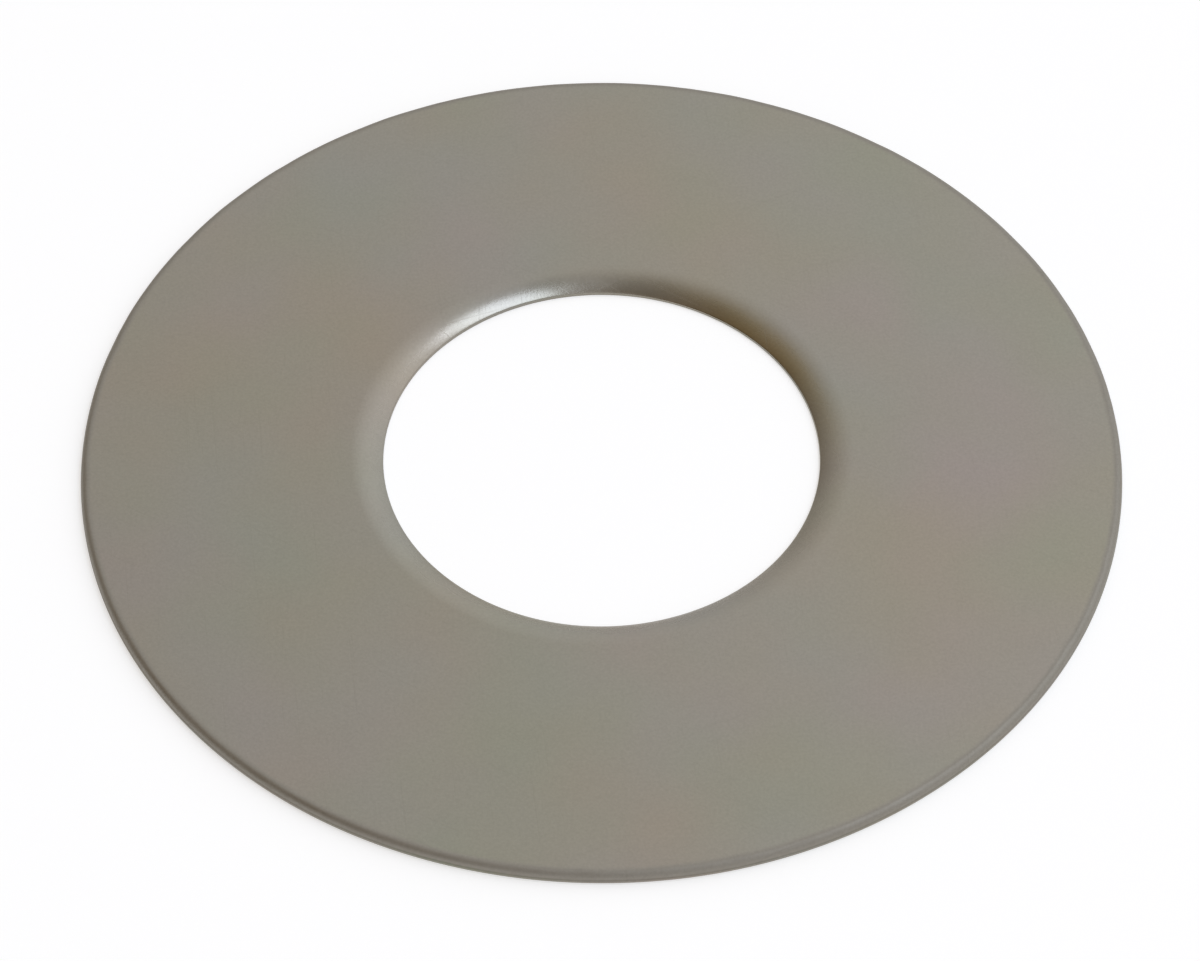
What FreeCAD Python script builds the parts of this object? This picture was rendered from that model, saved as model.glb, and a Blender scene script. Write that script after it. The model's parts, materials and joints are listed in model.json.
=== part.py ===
import FreeCAD, Part
import math
import os

import Sketcher
from FreeCAD import Vector

# Thin plain washer for a 10 mm bolt, punched from stainless sheet and tumbled.
# Z is the axis of the hole. The washer lies on Z = 0, with the rolled edge of its hole on top.
# The hole is punched from above: its upper edge is drawn down into a wide soft roll, below that
# the punch burnished a narrow land, and the last of the sheet broke away in a leaning fracture.
# The blank is cut out the other way up, so its rim has the roll below and the fracture above.
# Tumbling then took the burrs off both fractures and left a small round break at the hole and a
# broad one at the rim.

# Driving sizes in millimetres: name, value and what it measures.
SIZES = (
    ("outer_diameter", 25.0, "across the rim"),
    ("hole_diameter", 10.5, "across the burnished land of the hole"),
    ("sheet_thickness", 0.3, "sheet that the washer is punched from"),
    ("hole_roll_width", 0.78, "reach of the rolled edge from the land across the top face"),
    ("hole_roll_depth", 0.235, "drop of the rolled edge below the top face"),
    ("hole_roll_nose", 0.04, "radius that turns the rolled edge into the land"),
    ("hole_fracture_height", 0.015, "fracture under the land, down to the bottom face"),
    ("hole_break_radius", 0.01, "tumbled round at the lower edge of the hole"),
    ("rim_roll_width", 0.1, "reach of the rim's rolled edge across the bottom face"),
    ("rim_roll_depth", 0.05, "rise of the rim's rolled edge above the bottom face"),
    ("rim_roll_nose", 0.025, "radius that turns the rim's rolled edge into its land"),
    ("rim_fracture_height", 0.19, "fracture above the land, up to the top face"),
    ("rim_break_radius", 0.15, "tumbled round at the upper edge of the rim"),
    ("fracture_lean", 0.01, "how far a fracture draws back from its land"),
    ("least_land", 0.005, "land that is left when thinner sheet shortens a roll"),
)
NODE = "washer"

# Start and end of a curve in a sketch, and the point and axis that every sketch has.
START, END = 1, 2
ORIGIN, HORIZONTAL_AXIS = -1, -1


def make_sheet(doc):
    """Writes each driving size to a row of the sheet: name, value and meaning."""
    sheet = doc.addObject("Spreadsheet::Sheet", "Sizes")
    for row, (name, value, meaning) in enumerate(SIZES, start=1):
        sheet.set(f"A{row}", name)
        sheet.set(f"B{row}", str(value))
        sheet.setAlias(f"B{row}", name)
        sheet.set(f"C{row}", meaning)
    return sheet


def origin_plane(body, role):
    """The plane of the body's own origin that has this role."""
    return next(plane for plane in body.Origin.OriginFeatures if plane.Role == role)


def arc(centre, radius, first, last):
    """Arc that runs anticlockwise from one angle to the other, in degrees."""
    circle = Part.Circle(centre, Vector(0, 0, 1), radius)
    return Part.ArcOfCircle(circle, math.radians(first), math.radians(last))


def rolled_edge(corner, turn, width, depth, nose):
    """Two arcs of a rolled edge at a corner: a wide one off the face, then the nose into the wall.

    turn is 1 where the face runs outward from the corner and the wall runs down,
    and -1 where the face runs inward and the wall runs up.
    """
    reach = (width ** 2 - 2 * width * nose + depth ** 2) / (2 * (depth - nose))
    wide_centre = Vector(width, -reach, 0)
    nose_centre = Vector(nose, -depth, 0)
    slope = math.degrees(math.atan2(width - nose, reach - depth))
    upright = 90 if turn > 0 else 270
    wide = arc(corner + wide_centre * turn, reach, upright, upright + slope)
    small = arc(corner + nose_centre * turn, nose, upright + slope, upright + 90)
    return wide, small


def roll_depth(size, edge):
    """A roll's full depth, or what thinner sheet leaves of it above the fracture and a land."""
    room = size["sheet_thickness"] - size[f"{edge}_fracture_height"] - size["least_land"]
    return min(size[f"{edge}_roll_depth"], room)


def section_curves(size):
    """Curves of half the washer's section, anticlockwise, with radius across and height up."""
    hole = size["hole_diameter"] / 2
    rim = size["outer_diameter"] / 2
    top = size["sheet_thickness"]
    lean = size["fracture_lean"]
    hole_break = size["hole_break_radius"]
    rim_break = size["rim_break_radius"]
    hole_depth = roll_depth(size, "hole")
    rim_depth = roll_depth(size, "rim")

    rim_roll, rim_nose = rolled_edge(
        Vector(rim, 0, 0), -1, size["rim_roll_width"], rim_depth, size["rim_roll_nose"])
    hole_roll, hole_nose = rolled_edge(
        Vector(hole, top, 0), 1, size["hole_roll_width"], hole_depth, size["hole_roll_nose"])
    rim_break_centre = Vector(rim - lean - rim_break, top - rim_break, 0)
    hole_break_centre = Vector(hole + lean + hole_break, hole_break, 0)

    rim_land_foot = Vector(rim, rim_depth, 0)
    rim_land_head = Vector(rim, top - size["rim_fracture_height"], 0)
    hole_land_head = Vector(hole, top - hole_depth, 0)
    hole_land_foot = Vector(hole, size["hole_fracture_height"], 0)
    return {
        "bottom_face": Part.LineSegment(
            Vector(hole_break_centre.x, 0, 0), Vector(rim - size["rim_roll_width"], 0, 0)),
        "rim_roll": rim_roll,
        "rim_nose": rim_nose,
        "rim_land": Part.LineSegment(rim_land_foot, rim_land_head),
        "rim_fracture": Part.LineSegment(rim_land_head, rim_break_centre + Vector(rim_break, 0, 0)),
        "rim_break": arc(rim_break_centre, rim_break, 0, 90),
        "top_face": Part.LineSegment(
            Vector(rim_break_centre.x, top, 0), Vector(hole + size["hole_roll_width"], top, 0)),
        "hole_roll": hole_roll,
        "hole_nose": hole_nose,
        "hole_land": Part.LineSegment(hole_land_head, hole_land_foot),
        "hole_fracture": Part.LineSegment(hole_land_foot, hole_break_centre - Vector(hole_break, 0, 0)),
        "hole_break": arc(hole_break_centre, hole_break, 180, 270),
    }


def join_curves(sketch, curve):
    """Closes the section: every curve runs smoothly into the next, but for the foot of each fracture."""
    names = list(curve)
    for name, following in zip(names, names[1:] + names[:1]):
        joint = "Coincident" if name in ("rim_land", "hole_land") else "Tangent"
        sketch.addConstraint(Sketcher.Constraint(joint, curve[name], END, curve[following], START))
    sketch.addConstraint(Sketcher.Constraint("PointOnObject", curve["bottom_face"], START, HORIZONTAL_AXIS))
    for name in ("bottom_face", "top_face"):
        sketch.addConstraint(Sketcher.Constraint("Horizontal", curve[name]))
    for name in ("rim_land", "hole_land"):
        sketch.addConstraint(Sketcher.Constraint("Vertical", curve[name]))


def bind(sketch, constraint, expression):
    """Adds a dimension to the sketch and takes its value from the sheet."""
    index = sketch.addConstraint(constraint)
    sketch.setExpression(f"Constraints[{index}]", expression)


def bind_across(sketch, first, last, value, expression):
    """Distance along the radius from one point to another, each a curve and one of its ends."""
    bind(sketch, Sketcher.Constraint("DistanceX", *first, *last, value), expression)


def bind_up(sketch, first, last, value, expression):
    """Height from one point to another, each a curve and one of its ends."""
    bind(sketch, Sketcher.Constraint("DistanceY", *first, *last, value), expression)


def bind_radius(sketch, which, value, expression):
    """Radius of one arc."""
    bind(sketch, Sketcher.Constraint("Radius", which, value), expression)


def depth_rule(edge):
    """The rule of roll_depth, as the sheet's own expression."""
    room = f"Sizes.sheet_thickness - Sizes.{edge}_fracture_height - Sizes.least_land"
    return f"min(Sizes.{edge}_roll_depth; {room})"


def size_section(sketch, curve, size):
    """Ties every dimension of the section to the sheet."""
    centre = (ORIGIN, START)
    hole_land_head = (curve["hole_land"], START)
    hole_land_foot = (curve["hole_land"], END)
    rim_land_foot = (curve["rim_land"], START)
    rim_land_head = (curve["rim_land"], END)
    top_face = (curve["top_face"], START)

    bind_across(sketch, centre, hole_land_head, size["hole_diameter"] / 2, "Sizes.hole_diameter / 2")
    bind_across(sketch, centre, rim_land_foot, size["outer_diameter"] / 2, "Sizes.outer_diameter / 2")
    bind_up(sketch, centre, top_face, size["sheet_thickness"], "Sizes.sheet_thickness")

    bind_across(sketch, hole_land_head, (curve["hole_roll"], START), size["hole_roll_width"],
                "Sizes.hole_roll_width")
    bind_up(sketch, hole_land_head, top_face, roll_depth(size, "hole"), depth_rule("hole"))
    bind_radius(sketch, curve["hole_nose"], size["hole_roll_nose"], "Sizes.hole_roll_nose")

    bind_across(sketch, (curve["rim_roll"], START), rim_land_foot, size["rim_roll_width"],
                "Sizes.rim_roll_width")
    bind_up(sketch, centre, rim_land_foot, roll_depth(size, "rim"), depth_rule("rim"))
    bind_radius(sketch, curve["rim_nose"], size["rim_roll_nose"], "Sizes.rim_roll_nose")

    bind_up(sketch, centre, hole_land_foot, size["hole_fracture_height"], "Sizes.hole_fracture_height")
    bind_across(sketch, hole_land_foot, (curve["hole_fracture"], END), size["fracture_lean"],
                "Sizes.fracture_lean")
    bind_radius(sketch, curve["hole_break"], size["hole_break_radius"], "Sizes.hole_break_radius")

    bind_up(sketch, rim_land_head, top_face, size["rim_fracture_height"], "Sizes.rim_fracture_height")
    bind_across(sketch, (curve["rim_fracture"], END), rim_land_head, size["fracture_lean"],
                "Sizes.fracture_lean")
    bind_radius(sketch, curve["rim_break"], size["rim_break_radius"], "Sizes.rim_break_radius")


def make_section(body, size):
    """Sketch of half the washer's section, on the upright plane through its axis."""
    sketch = body.newObject("Sketcher::SketchObject", "Section")
    sketch.AttachmentSupport = [(origin_plane(body, "XZ_Plane"), "")]
    sketch.MapMode = "FlatFace"
    curve = {name: sketch.addGeometry(shape, False) for name, shape in section_curves(size).items()}
    join_curves(sketch, curve)
    size_section(sketch, curve, size)
    return sketch


def make_washer(doc, size):
    """The washer: its section turned once round the axis of the hole."""
    body = doc.addObject("PartDesign::Body", "Washer")
    body.Label = NODE
    section = make_section(body, size)
    ring = body.newObject("PartDesign::Revolution", "Ring")
    ring.Profile = section
    ring.ReferenceAxis = (section, ["V_Axis"])
    ring.Angle = 360
    body.Tip = ring
    body.Placement = FreeCAD.Placement(Vector(0, 0, 0), FreeCAD.Rotation())
    return body


def check(doc, body):
    """Stops if anything in the document failed, or the washer isn't one valid solid."""
    for item in doc.Objects:
        if "Invalid" in item.State or "Error" in item.State:
            raise RuntimeError(f"{item.Label} didn't build: {item.State}")
    shape = body.Shape
    if shape.isNull() or not shape.isValid() or len(shape.Solids) != 1:
        raise RuntimeError(f"{body.Label} isn't one valid solid")


def main():
    doc = FreeCAD.newDocument("PlainWasher")
    make_sheet(doc)
    doc.recompute()
    size = {name: value for name, value, meaning in SIZES}
    washer = make_washer(doc, size)
    doc.recompute()
    check(doc, washer)
    os.makedirs("parts", exist_ok=True)
    washer.Shape.exportStep(f"parts/{washer.Label}.step")


main()
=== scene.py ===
import json
import math
import random

import bpy
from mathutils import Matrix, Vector


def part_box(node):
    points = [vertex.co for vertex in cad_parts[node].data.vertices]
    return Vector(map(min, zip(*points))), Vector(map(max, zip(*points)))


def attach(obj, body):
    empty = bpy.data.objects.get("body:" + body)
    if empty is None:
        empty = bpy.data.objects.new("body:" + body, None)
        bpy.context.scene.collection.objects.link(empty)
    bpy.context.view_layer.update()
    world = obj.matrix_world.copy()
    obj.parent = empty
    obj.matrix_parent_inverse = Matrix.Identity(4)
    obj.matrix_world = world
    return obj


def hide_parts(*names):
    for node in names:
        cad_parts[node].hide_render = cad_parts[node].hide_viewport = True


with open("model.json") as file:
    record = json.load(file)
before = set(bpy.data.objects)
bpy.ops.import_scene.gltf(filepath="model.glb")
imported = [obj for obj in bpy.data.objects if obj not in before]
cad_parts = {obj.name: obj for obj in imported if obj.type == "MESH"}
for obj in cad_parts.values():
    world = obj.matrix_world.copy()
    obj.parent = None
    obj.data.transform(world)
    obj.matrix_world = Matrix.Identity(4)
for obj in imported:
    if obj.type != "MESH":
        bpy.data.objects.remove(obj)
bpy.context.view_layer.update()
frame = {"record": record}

# The punched washer, as in the solid model. Lengths are in metres, and MM is one millimetre.
MM = 0.001
LOWEST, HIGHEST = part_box("washer")
RIM = (HIGHEST.x - LOWEST.x) / 2
BOTTOM = LOWEST.z
TOP = HIGHEST.z
BORE = next(mount for mount in frame["record"]["mounts"] if mount["name"] == "bore")
HOLE = BORE["dims"]["r_mm"] * MM

HOLE_ROLL_WIDTH = 0.78 * MM
HOLE_ROLL_DEPTH = 0.235 * MM
HOLE_ROLL_NOSE = 0.04 * MM
HOLE_FRACTURE = 0.015 * MM
HOLE_BREAK = 0.01 * MM
RIM_ROLL_WIDTH = 0.1 * MM
RIM_ROLL_DEPTH = 0.05 * MM
RIM_ROLL_NOSE = 0.025 * MM
RIM_FRACTURE = 0.19 * MM
RIM_BREAK = 0.15 * MM
LEAN = 0.01 * MM

# How far the tumbled wear of the rim fades out over the top face.
RIM_MARGIN = 0.1 * MM

# The unevenness of a real washer: how much each size changes round the ring. A size in MM is a length,
# and any other is a share of the size that it changes.
OUTLINE_CHANGE = 0.004 * MM
ROLL_WIDTH_CHANGE = 0.08
ROLL_DEPTH_CHANGE = 0.03
RIM_BREAK_CHANGE = 0.1
HOLE_SHEAR_CHANGE = 0.2
RIM_SHEAR_CHANGE = 0.01 * MM
NICK_DEPTH = 0.02 * MM

# Ranges that the random parts of a wave and of a nick are drawn from. A nick's width is in radians.
WAVE_SIZES = (0.3, 1.0)
NICK_WIDTHS = (0.01, 0.03)
NICK_SHARES = (0.3, 1.0)

# Mesh steps round the ring, and along each stretch of the section.
TURN_STEPS = 720
FACE_STEPS = 8
HOLE_ROLL_STEPS = 24
HOLE_NOSE_STEPS = 8
HOLE_BREAK_STEPS = 5
RIM_ROLL_STEPS = 8
RIM_NOSE_STEPS = 5
RIM_BREAK_STEPS = 10
MARGIN_STEPS = 4
WALL_STEPS = 3

# The steel's linear colour where it leans to green and to pink and where it is worn, the tints that change
# its blue, and the shades of the fine grain and of the cloudy spots.
STEEL_GREENISH = (0.296, 0.291, 0.242, 1)
STEEL_PINKISH = (0.322, 0.282, 0.242, 1)
STEEL_WORN = (0.326, 0.304, 0.265, 1)
LESS_BLUE = (1.0, 1.0, 0.94, 1)
MORE_BLUE = (1.0, 1.0, 1.06, 1)
GRAIN_SHADE = (0.95, 1.04)
CLOUD_SHADE = (-0.03, 0.03)

# The patterns of the steel: how many features there are in a metre, and how finely each is broken up.
GRAIN_SCALE = 14000
GRAIN_DETAIL = 3.0
GRAIN_ROUGHNESS = 0.6
CLOUD_SCALE = 900
CLOUD_DETAIL = 3.0
PATCH_SCALE = 170
PATCH_DETAIL = 2.0
PATCH_SHIFT = 0.2

# Nearly all the values of a noise lie between these two.
NOISE_RANGE = (0.3, 0.7)

# Scratches: the direction in degrees and the place in the noise of each set, their size in metres, and the
# noise where they begin and are full.
SCRATCH_SETS = ((24, 3.1), (97, 7.7), (151, 11.3))
SCRATCH_LENGTH = 1 / 250
SCRATCH_WIDTH = 1 / 12000
SCRATCH_RANGE = (0.66, 0.74)

# The relief of the steel: the height of its grain, and the depth of the scratches as a share of that.
GRAIN_HEIGHT = 0.0015 * MM
SCRATCH_DEPTH = 0.25

# The roughness of the faces, and what scratches, wear and each zone of the section add to it.
FACE_ROUGHNESS = (0.34, 0.42)
SCRATCH_ROUGHNESS = 0.04
WORN_ROUGHNESS = 0.25
ZONE_ROUGHNESS = (("roll", -0.17), ("edge", -0.12), ("land", 0.05), ("fracture", 0.35))

# Where the washer lies in the photograph, in its own pixels.
PHOTO_WIDTH = 1200
PHOTO_HEIGHT = 961
CENTRE_X = 601.5
CENTRE_Y = 448.7
RIM_REACH = 520.2

# The camera: how far off in rim radii, its place in degrees round the washer and above the table.
CAMERA_RADII = 8.6
CAMERA_AZIMUTH = -90
CAMERA_ELEVATION = 49.6
SENSOR_WIDTH = 36.0

# The surroundings, as linear colour: dim to the left and bright to the right, and how far each side
# reaches. They are dimmer at the horizon, and also overhead, from a height of OVERHEAD_FROM on a sphere
# of radius 1.
SKY_DIM = (0.25, 0.162, 0.065, 1)
SKY_BRIGHT = (1.32, 1.35, 1.39, 1)
SKY_BRIGHT_SIDE = (0.86, 0.51, 0.0)
SKY_REACH = 0.8
HORIZON_SHARE = 0.62
OVERHEAD_FROM = 0.85
OVERHEAD_SHARE = 0.6

# A brown stretch of the surroundings, high up at the left: its place as azimuth and elevation in degrees,
# the cosine of the angle from there at which it begins, and its tint.
BROWN_PLACE = (154, 60)
BROWN_FROM = 0.9
BROWN_TINT = (0.98, 0.86, 0.6, 1)

# A lighter stretch of the surroundings, low down in front: its place, where it begins, and its colour.
FRONT_PLACE = (-70, 15)
FRONT_FROM = 0.5
FRONT_COLOUR = (0.96, 0.98, 1.02, 1)

# The key lamp's place as azimuth and elevation in degrees, its distance, its size and its light.
KEY_PLACE = (-9, 68)
KEY_DISTANCE = 0.4
KEY_LENGTH = 0.25
KEY_WIDTH = 0.15
KEY_BRIGHTNESS = 2.35
KEY_COLOUR = (0.88, 1.0, 1.2)

# The white paper under and round the washer: flat as far as PAPER_FLAT, then bent up. Its gap keeps it
# just clear of the washer.
PAPER_FLAT = 1.0
PAPER_BEND = 0.16
PAPER_GAP = 0.005 * MM
PAPER_TURN_STEPS = 96
PAPER_FLAT_STEPS = 10
PAPER_BEND_STEPS = 12
PAPER_COLOUR = (0.6, 0.602, 0.61, 1)
PAPER_GLOW = 0.53
GLOW_COLOUR = (1, 1, 1, 1)


def waves(seed, lowest, highest):
    """A smooth random line round the ring, with this range of waves in a turn.

    It mostly stays between -1 and 1. Its parts rarely peak together, so their sum is doubled.
    """
    pick = random.Random(seed)
    parts = [(count, pick.uniform(*WAVE_SIZES), pick.uniform(0, math.tau))
             for count in range(lowest, highest + 1)]
    most = sum(size for count, size, start in parts)

    def height(angle):
        total = sum(size * math.sin(count * angle + start) for count, size, start in parts)
        return total / most * 2

    return height


def nicks(seed, number, deepest):
    """A few small worn flats at random places round an edge, as the extra radius that each adds."""
    pick = random.Random(seed)
    marks = [(pick.uniform(0, math.tau), pick.uniform(*NICK_WIDTHS), pick.uniform(*NICK_SHARES))
             for _ in range(number)]

    def depth(angle):
        total = 0.0
        for place, width, share in marks:
            apart = (angle - place + math.pi) % math.tau - math.pi
            total += share * math.exp(-(apart / width) ** 2)
        return deepest * min(total, 1.0)

    return depth


HOLE_WAVES = waves(seed=11, lowest=2, highest=7)
ROLL_WAVES = waves(seed=238, lowest=1, highest=4)
RIM_WAVES = waves(seed=13, lowest=2, highest=9)
HOLE_SHEAR_WAVES = waves(seed=14, lowest=20, highest=60)
RIM_SHEAR_WAVES = waves(seed=15, lowest=30, highest=110)
RIM_BREAK_WAVES = waves(seed=18, lowest=14, highest=60)
RIM_NICKS = nicks(seed=16, number=22, deepest=NICK_DEPTH)


def arc(centre, radius, first, last, steps):
    """Points on an arc from one angle to another in degrees, with both ends."""
    turns = [math.radians(first + (last - first) * step / steps) for step in range(steps + 1)]
    return [(centre[0] + radius * math.cos(turn), centre[1] + radius * math.sin(turn)) for turn in turns]


def line(first, last, steps):
    """Points on a straight line, with both ends."""
    return [tuple(a + (b - a) * step / steps for a, b in zip(first, last)) for step in range(steps + 1)]


def rolled_edge(corner, turn, width, depth, nose, wide_steps, nose_steps):
    """The two arcs of a rolled edge, as in the solid model: a wide one off the face, then the nose.

    turn is 1 where the face runs outward from the corner and the wall runs down,
    and -1 where the face runs inward and the wall runs up.
    """
    reach = (width ** 2 - 2 * width * nose + depth ** 2) / (2 * (depth - nose))
    slope = math.degrees(math.atan2(width - nose, reach - depth))
    upright = 90 if turn > 0 else 270
    wide_centre = (corner[0] + turn * width, corner[1] - turn * reach)
    nose_centre = (corner[0] + turn * nose, corner[1] - turn * depth)
    wide = arc(wide_centre, reach, upright, upright + slope, wide_steps)
    small = arc(nose_centre, nose, upright + slope, upright + 90, nose_steps)
    return wide, small


def rim_section(angle):
    """The rim's part of the section, from the bottom face up to the top face."""
    rim = RIM - OUTLINE_CHANGE * (1 + RIM_WAVES(angle))
    rounding = RIM_BREAK * (1 + RIM_BREAK_CHANGE * RIM_BREAK_WAVES(angle)) + RIM_NICKS(angle)
    shear = TOP - RIM_FRACTURE - RIM_SHEAR_CHANGE * RIM_SHEAR_WAVES(angle)
    centre = (rim - LEAN - rounding, TOP - rounding)
    margin_end = centre[0] - RIM_MARGIN
    roll, nose = rolled_edge((rim, BOTTOM), -1, RIM_ROLL_WIDTH, RIM_ROLL_DEPTH, RIM_ROLL_NOSE,
                             RIM_ROLL_STEPS, RIM_NOSE_STEPS)
    return (
        ("roll", roll),
        ("edge", nose),
        ("land", line((rim, BOTTOM + RIM_ROLL_DEPTH), (rim, shear), WALL_STEPS)),
        ("fracture", line((rim, shear), (rim - LEAN, TOP - rounding), WALL_STEPS)),
        ("worn", arc(centre, rounding, 0, 90, RIM_BREAK_STEPS)),
        ("margin", line((centre[0], TOP), (margin_end, TOP), MARGIN_STEPS)),
    )


def hole_section(angle):
    """The hole's part of the section, from the top face down to the bottom face."""
    hole = HOLE + OUTLINE_CHANGE * (1 + HOLE_WAVES(angle))
    width = HOLE_ROLL_WIDTH * (1 + ROLL_WIDTH_CHANGE * ROLL_WAVES(angle))
    depth = HOLE_ROLL_DEPTH * (1 + ROLL_DEPTH_CHANGE * ROLL_WAVES(angle))
    shear = BOTTOM + HOLE_FRACTURE * (1 + HOLE_SHEAR_CHANGE * HOLE_SHEAR_WAVES(angle))
    centre = (hole + LEAN + HOLE_BREAK, BOTTOM + HOLE_BREAK)
    roll, nose = rolled_edge((hole, TOP), 1, width, depth, HOLE_ROLL_NOSE,
                             HOLE_ROLL_STEPS, HOLE_NOSE_STEPS)
    return (
        ("roll", roll),
        ("edge", nose),
        ("land", line((hole, TOP - depth), (hole, shear), WALL_STEPS)),
        ("fracture", line((hole, shear), (hole + LEAN, BOTTOM + HOLE_BREAK), WALL_STEPS)),
        ("edge", arc(centre, HOLE_BREAK, 180, 270, HOLE_BREAK_STEPS)),
    )


def section(angle):
    """Half the washer's section at one angle round the ring: each stretch's name and its points."""
    rim = rim_section(angle)
    hole = hole_section(angle)
    rim_first, rim_last = rim[0][1][0], rim[-1][1][-1]
    hole_first, hole_last = hole[0][1][0], hole[-1][1][-1]
    bottom_face = ("face", line(hole_last, rim_first, FACE_STEPS))
    top_face = ("face", line(rim_last, hole_first, FACE_STEPS))
    return (bottom_face, *rim, top_face, *hole)


def zone_values():
    """How far each point of the section lies in each zone of the steel, from 0 to 1."""
    stretches = section(0)
    names = [name for name, points in stretches for _ in points[:-1]]
    along = [step / (len(points) - 1) for name, points in stretches for step in range(len(points) - 1)]
    zones = {zone: [float(name == zone) for name in names]
             for zone in ("edge", "land", "fracture", "worn")}
    zones["roll"] = [share * (name == "roll") for name, share in zip(names, along)]
    zones["margin"] = [(1 - share) * (name == "margin") for name, share in zip(names, along)]
    return zones


def washer_mesh():
    """The washer as one closed mesh: its section at every step of the turn, joined into a ring."""
    vertices = []
    for step in range(TURN_STEPS):
        angle = math.tau * step / TURN_STEPS
        for _, points in section(angle):
            vertices += [(radius * math.cos(angle), radius * math.sin(angle), height)
                         for radius, height in points[:-1]]
    rows = len(vertices) // TURN_STEPS
    faces = []
    for step in range(TURN_STEPS):
        here = step * rows
        after = (step + 1) % TURN_STEPS * rows
        for row in range(rows):
            above = (row + 1) % rows
            faces.append((here + row, after + row, after + above, here + above))
    mesh = bpy.data.meshes.new("washer_steel")
    mesh.from_pydata(vertices, [], faces)
    mesh.shade_smooth()
    for zone, values in zone_values().items():
        layer = mesh.attributes.new(zone, "FLOAT", "POINT")
        layer.data.foreach_set("value", values * TURN_STEPS)
    mesh.update()
    return mesh


def make_washer(material):
    """The dressed washer, which stands for the solid one."""
    washer = bpy.data.objects.new("washer_steel", washer_mesh())
    bpy.context.scene.collection.objects.link(washer)
    washer.data.materials.append(material)
    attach(washer, "root")
    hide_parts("washer")


def add_node(tree, kind, **settings):
    """A new shader node with these settings of its own."""
    made = tree.nodes.new("ShaderNode" + kind)
    for name, value in settings.items():
        setattr(made, name, value)
    return made


def noise(tree, place, scale, detail, roughness=0.5):
    """Noise texture with features of about one over scale metres."""
    made = add_node(tree, "TexNoise")
    made.inputs["Scale"].default_value = scale
    made.inputs["Detail"].default_value = detail
    made.inputs["Roughness"].default_value = roughness
    tree.links.new(place, made.inputs["Vector"])
    return made.outputs["Fac"]


def shifted(tree, place, distance):
    """The same place moved along, so that two noises don't have the same pattern."""
    made = add_node(tree, "VectorMath", operation="ADD")
    made.inputs[1].default_value = (distance, distance, 0)
    tree.links.new(place, made.inputs[0])
    return made.outputs["Vector"]


def remap(tree, value, low, high, to_low, to_high, ramp="LINEAR"):
    """Stretches the values between low and high to another range, and holds them inside it."""
    made = add_node(tree, "MapRange", interpolation_type=ramp)
    for name, number in (("From Min", low), ("From Max", high), ("To Min", to_low), ("To Max", to_high)):
        made.inputs[name].default_value = number
    tree.links.new(value, made.inputs["Value"])
    return made.outputs["Result"]


def maths(tree, operation, first, second):
    """One calculation with two values, each a socket or a number."""
    made = add_node(tree, "Math", operation=operation)
    for slot, value in zip(made.inputs, (first, second)):
        if isinstance(value, (int, float)):
            slot.default_value = value
        else:
            tree.links.new(value, slot)
    return made.outputs["Value"]


def mix_colour(tree, share, first, second, blend="MIX"):
    """Mix of two colours, each a socket or a tuple."""
    made = add_node(tree, "Mix", data_type="RGBA", blend_type=blend)
    for slot, value in ((made.inputs[0], share), (made.inputs[6], first), (made.inputs[7], second)):
        if isinstance(value, bpy.types.NodeSocket):
            tree.links.new(value, slot)
        else:
            slot.default_value = value
    return made.outputs[2]


def zone_share(tree, zone):
    """How far a point lies in one of the mesh's named zones, from 0 to 1."""
    made = add_node(tree, "Attribute", attribute_name=zone)
    return made.outputs["Fac"]


def scratches(tree, place, turn, seed):
    """Thin faint scratches in one direction, broken up along their length."""
    mapping = add_node(tree, "Mapping", vector_type="TEXTURE")
    mapping.inputs["Rotation"].default_value = (0, 0, math.radians(turn))
    mapping.inputs["Location"].default_value = (seed, seed, 0)
    mapping.inputs["Scale"].default_value = (SCRATCH_LENGTH, SCRATCH_WIDTH, SCRATCH_LENGTH)
    tree.links.new(place, mapping.inputs["Vector"])
    lines = noise(tree, mapping.outputs["Vector"], 1.0, 1.0)
    return remap(tree, lines, *SCRATCH_RANGE, 0.0, 1.0)


def steel_colour(tree, place, grain, cloud, worn):
    """Warm grey in faint green, pink and bluish patches, lightly shaded by the grain and the cloud."""
    patches = noise(tree, place, PATCH_SCALE, PATCH_DETAIL)
    blues = noise(tree, shifted(tree, place, PATCH_SHIFT), PATCH_SCALE, PATCH_DETAIL)
    hue = mix_colour(tree, remap(tree, patches, *NOISE_RANGE, 0.0, 1.0), STEEL_GREENISH, STEEL_PINKISH)
    blue = mix_colour(tree, remap(tree, blues, *NOISE_RANGE, 0.0, 1.0), LESS_BLUE, MORE_BLUE)
    tint = mix_colour(tree, 1.0, hue, blue, "MULTIPLY")
    grain_shade = remap(tree, grain, *NOISE_RANGE, *GRAIN_SHADE)
    cloud_shade = remap(tree, cloud, *NOISE_RANGE, *CLOUD_SHADE)
    shade = maths(tree, "ADD", grain_shade, cloud_shade)
    return mix_colour(tree, 1.0, mix_colour(tree, worn, tint, STEEL_WORN), shade, "MULTIPLY")


def steel_roughness(tree, cloud, marks, worn):
    """Satin on the faces, glossier on the rolls and noses, and dull where worn or torn."""
    rough = remap(tree, cloud, *NOISE_RANGE, *FACE_ROUGHNESS)
    rough = maths(tree, "ADD", rough, maths(tree, "MULTIPLY", marks, SCRATCH_ROUGHNESS))
    rough = maths(tree, "ADD", rough, maths(tree, "MULTIPLY", worn, WORN_ROUGHNESS))
    for zone, change in ZONE_ROUGHNESS:
        rough = maths(tree, "ADD", rough, maths(tree, "MULTIPLY", zone_share(tree, zone), change))
    return rough


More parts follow.
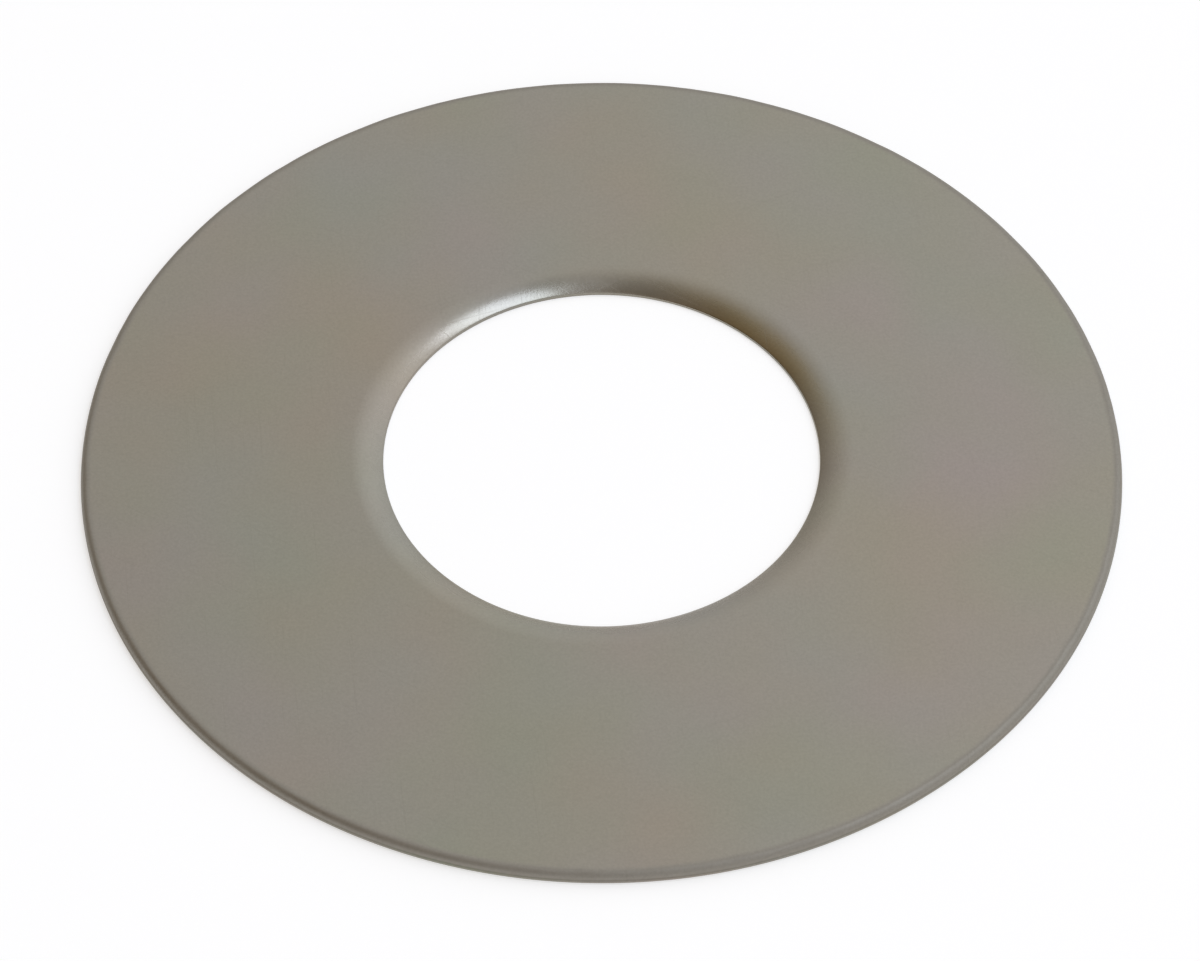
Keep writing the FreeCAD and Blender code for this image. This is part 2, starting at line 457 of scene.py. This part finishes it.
def steel_material():
    """Tumbled stainless steel, with a fine grain and faint scratches in three directions."""
    material = bpy.data.materials.new("tumbled_steel")
    material.use_nodes = True
    tree = material.node_tree
    shader = tree.nodes["Principled BSDF"]
    place = add_node(tree, "TexCoord").outputs["Object"]

    grain = noise(tree, place, GRAIN_SCALE, GRAIN_DETAIL, GRAIN_ROUGHNESS)
    cloud = noise(tree, place, CLOUD_SCALE, CLOUD_DETAIL)
    worn = maths(tree, "ADD", zone_share(tree, "worn"), zone_share(tree, "margin"))
    marks = 0.0
    for turn, seed in SCRATCH_SETS:
        marks = maths(tree, "MAXIMUM", marks, scratches(tree, place, turn, seed))

    tree.links.new(steel_colour(tree, place, grain, cloud, worn), shader.inputs["Base Color"])
    tree.links.new(steel_roughness(tree, cloud, marks, worn), shader.inputs["Roughness"])
    shader.inputs["Metallic"].default_value = 1.0

    height = maths(tree, "SUBTRACT", grain, maths(tree, "MULTIPLY", marks, SCRATCH_DEPTH))
    bump = add_node(tree, "Bump")
    bump.inputs["Strength"].default_value = 1.0
    bump.inputs["Distance"].default_value = GRAIN_HEIGHT
    tree.links.new(height, bump.inputs["Height"])
    tree.links.new(bump.outputs["Normal"], shader.inputs["Normal"])
    return material


def paper_material():
    """Matt white paper. A glow, seen by the camera and in the steel, lifts it to the photograph's white."""
    material = bpy.data.materials.new("white_paper")
    material.use_nodes = True
    tree = material.node_tree
    shader = tree.nodes["Principled BSDF"]
    shader.inputs["Base Color"].default_value = PAPER_COLOUR
    shader.inputs["Roughness"].default_value = 1.0
    shader.inputs["Specular IOR Level"].default_value = 0.0
    shader.inputs["Emission Color"].default_value = GLOW_COLOUR

    path = add_node(tree, "LightPath").outputs
    seen = maths(tree, "MAXIMUM", path["Is Camera Ray"], path["Is Glossy Ray"])
    seen = maths(tree, "MAXIMUM", seen, path["Is Transmission Ray"])
    tree.links.new(maths(tree, "MULTIPLY", seen, PAPER_GLOW), shader.inputs["Emission Strength"])
    return material


def make_paper():
    """White paper that lies flat under the washer and bends up a long way off, behind everything."""
    low = BOTTOM - PAPER_GAP
    flat = [(PAPER_FLAT * step / PAPER_FLAT_STEPS, low) for step in range(1, PAPER_FLAT_STEPS)]
    bend = arc((PAPER_FLAT, low + PAPER_BEND), PAPER_BEND, 270, 360, PAPER_BEND_STEPS)
    rows = flat + bend
    vertices = [(0, 0, low)]
    for step in range(PAPER_TURN_STEPS):
        angle = math.tau * step / PAPER_TURN_STEPS
        vertices += [(radius * math.cos(angle), radius * math.sin(angle), height) for radius, height in rows]
    faces = []
    for step in range(PAPER_TURN_STEPS):
        here = 1 + step * len(rows)
        after = 1 + (step + 1) % PAPER_TURN_STEPS * len(rows)
        faces.append((0, here, after))
        faces += [(here + row, here + row + 1, after + row + 1, after + row) for row in range(len(rows) - 1)]
    mesh = bpy.data.meshes.new("paper")
    mesh.from_pydata(vertices, [], faces)
    mesh.shade_smooth()
    paper = bpy.data.objects.new("paper", mesh)
    paper.data.materials.append(paper_material())
    bpy.context.scene.collection.objects.link(paper)


def direction(azimuth, elevation):
    """Unit vector towards a place round the washer: azimuth 0 is +X and 90 is +Y."""
    turn, rise = math.radians(azimuth), math.radians(elevation)
    return Vector((math.cos(turn) * math.cos(rise), math.sin(turn) * math.cos(rise), math.sin(rise)))


def nearness(tree, towards, place, begins, full):
    """How near a direction is to a place, as a smooth share that runs between two cosines."""
    made = add_node(tree, "VectorMath", operation="DOT_PRODUCT")
    made.inputs[1].default_value = place
    tree.links.new(towards, made.inputs[0])
    return remap(tree, made.outputs["Value"], begins, full, 0.0, 1.0, "SMOOTHSTEP")


def make_world():
    """Soft surroundings: bright to the right and behind, warm and dim to the left, dim overhead."""
    world = bpy.data.worlds.new("studio")
    world.use_nodes = True
    tree = world.node_tree
    background = tree.nodes["Background"]
    towards = add_node(tree, "TexCoord").outputs["Generated"]

    bright = nearness(tree, towards, SKY_BRIGHT_SIDE, -SKY_REACH, SKY_REACH)
    brown = nearness(tree, towards, direction(*BROWN_PLACE), BROWN_FROM, 1.0)
    front = nearness(tree, towards, direction(*FRONT_PLACE), FRONT_FROM, 1.0)
    sky = mix_colour(tree, bright, SKY_DIM, SKY_BRIGHT)
    sky = mix_colour(tree, brown, sky, BROWN_TINT, "MULTIPLY")
    sky = mix_colour(tree, front, sky, FRONT_COLOUR)
    tree.links.new(sky, background.inputs["Color"])

    split = add_node(tree, "SeparateXYZ")
    tree.links.new(towards, split.inputs["Vector"])
    height = split.outputs["Z"]
    strength = remap(tree, height, 0.0, 1.0, HORIZON_SHARE, 1.0)
    overhead = remap(tree, height, OVERHEAD_FROM, 1.0, 1.0, OVERHEAD_SHARE, "SMOOTHSTEP")
    tree.links.new(maths(tree, "MULTIPLY", strength, overhead), background.inputs["Strength"])
    bpy.context.scene.world = world


def make_key_lamp():
    """One long soft lamp above the washer, to the right. A brightness of 1 is that of white paper."""
    area = math.pi * KEY_LENGTH / 2 * KEY_WIDTH / 2
    light = bpy.data.lights.new("key_lamp", "AREA")
    light.shape = "ELLIPSE"
    light.size = KEY_LENGTH
    light.size_y = KEY_WIDTH
    light.energy = KEY_BRIGHTNESS * math.pi * area
    light.color = KEY_COLOUR
    lamp = bpy.data.objects.new("key_lamp", light)
    towards = direction(*KEY_PLACE)
    lamp.location = towards * KEY_DISTANCE
    lamp.rotation_mode = "QUATERNION"
    lamp.rotation_quaternion = towards.to_track_quat("Z", "Y")
    lamp.visible_camera = False
    bpy.context.scene.collection.objects.link(lamp)


def make_camera():
    """The photograph's view: the washer's top face in its place in the frame."""
    focal_pixels = RIM_REACH * CAMERA_RADII
    camera = bpy.data.cameras.new("photo_camera")
    camera.sensor_width = SENSOR_WIDTH
    camera.clip_start = MM
    camera.lens = SENSOR_WIDTH * focal_pixels / PHOTO_WIDTH
    made = bpy.data.objects.new("photo_camera", camera)
    bpy.context.scene.collection.objects.link(made)

    back = direction(CAMERA_AZIMUTH, CAMERA_ELEVATION)
    made.location = Vector((0, 0, TOP)) + back * CAMERA_RADII * RIM
    straight = (-back).to_track_quat("-Z", "Y")
    across = Vector((PHOTO_WIDTH / 2 - CENTRE_X, CENTRE_Y - PHOTO_HEIGHT / 2, -focal_pixels))
    made.rotation_mode = "QUATERNION"
    made.rotation_quaternion = straight @ Vector((0, 0, -1)).rotation_difference(across)
    bpy.context.scene.camera = made


make_washer(steel_material())
make_paper()
make_world()
make_key_lamp()
make_camera()
bpy.context.scene.view_settings.view_transform = "Standard"
